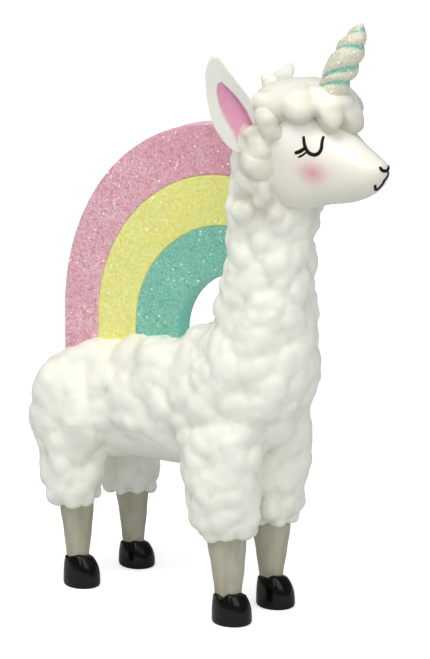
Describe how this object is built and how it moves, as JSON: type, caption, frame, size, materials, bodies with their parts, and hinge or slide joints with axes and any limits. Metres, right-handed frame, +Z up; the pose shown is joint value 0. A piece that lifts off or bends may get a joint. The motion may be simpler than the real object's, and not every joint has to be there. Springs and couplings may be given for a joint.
{
  "type": "llama unicorn ornament",
  "caption": "Standing llama ornament in lumpy white fleece with a spiral unicorn horn, closed-eye face, grey legs, black hooves and a glitter half rainbow from its back to its neck.",
  "frame": {"origin": "on the ground under the middle of the ornament's bounding box", "axes": "+X the way the llama faces, +Y its left side, +Z up"},
  "size_m": [0.1241, 0.0459, 0.1772],
  "materials": {
    "fleece_white": "hand-painted semi-gloss white over lumpy cast resin",
    "face_white": "smooth semi-gloss white paint with soft pink cheeks",
    "ear_white": "semi-gloss white paint, pink in the hollow",
    "horn_glitter": "white glitter with turquoise stripes in the grooves",
    "glitter_pink": "pink paint with fine glitter",
    "glitter_yellow": "yellow paint with fine glitter",
    "glitter_turquoise": "turquoise paint with fine glitter",
    "leg_grey": "matte grey-beige paint",
    "hoof_black": "glossy black paint",
    "steel": "plain drawn steel"
  },
  "bodies": {
    "root": {"body_fleece": "fleece_white", "tail_tuft": "fleece_white", "head": "face_white", "crown_fleece": "fleece_white", "ear_right": "ear_white", "ear_left": "ear_white", "horn": "horn_glitter", "horn_pin": "steel", "neck_pin": "steel", "rainbow_outer": "glitter_pink", "rainbow_middle": "glitter_yellow", "rainbow_inner": "glitter_turquoise", "rainbow_pins": "steel", "shank_front_right": "leg_grey", "hoof_front_right": "hoof_black", "leg_wire_front_right": "steel", "shank_front_left": "leg_grey", "hoof_front_left": "hoof_black", "leg_wire_front_left": "steel", "shank_rear_right": "leg_grey", "hoof_rear_right": "hoof_black", "leg_wire_rear_right": "steel", "shank_rear_left": "leg_grey", "hoof_rear_left": "hoof_black", "leg_wire_rear_left": "steel"}
  },
  "joints": []
}
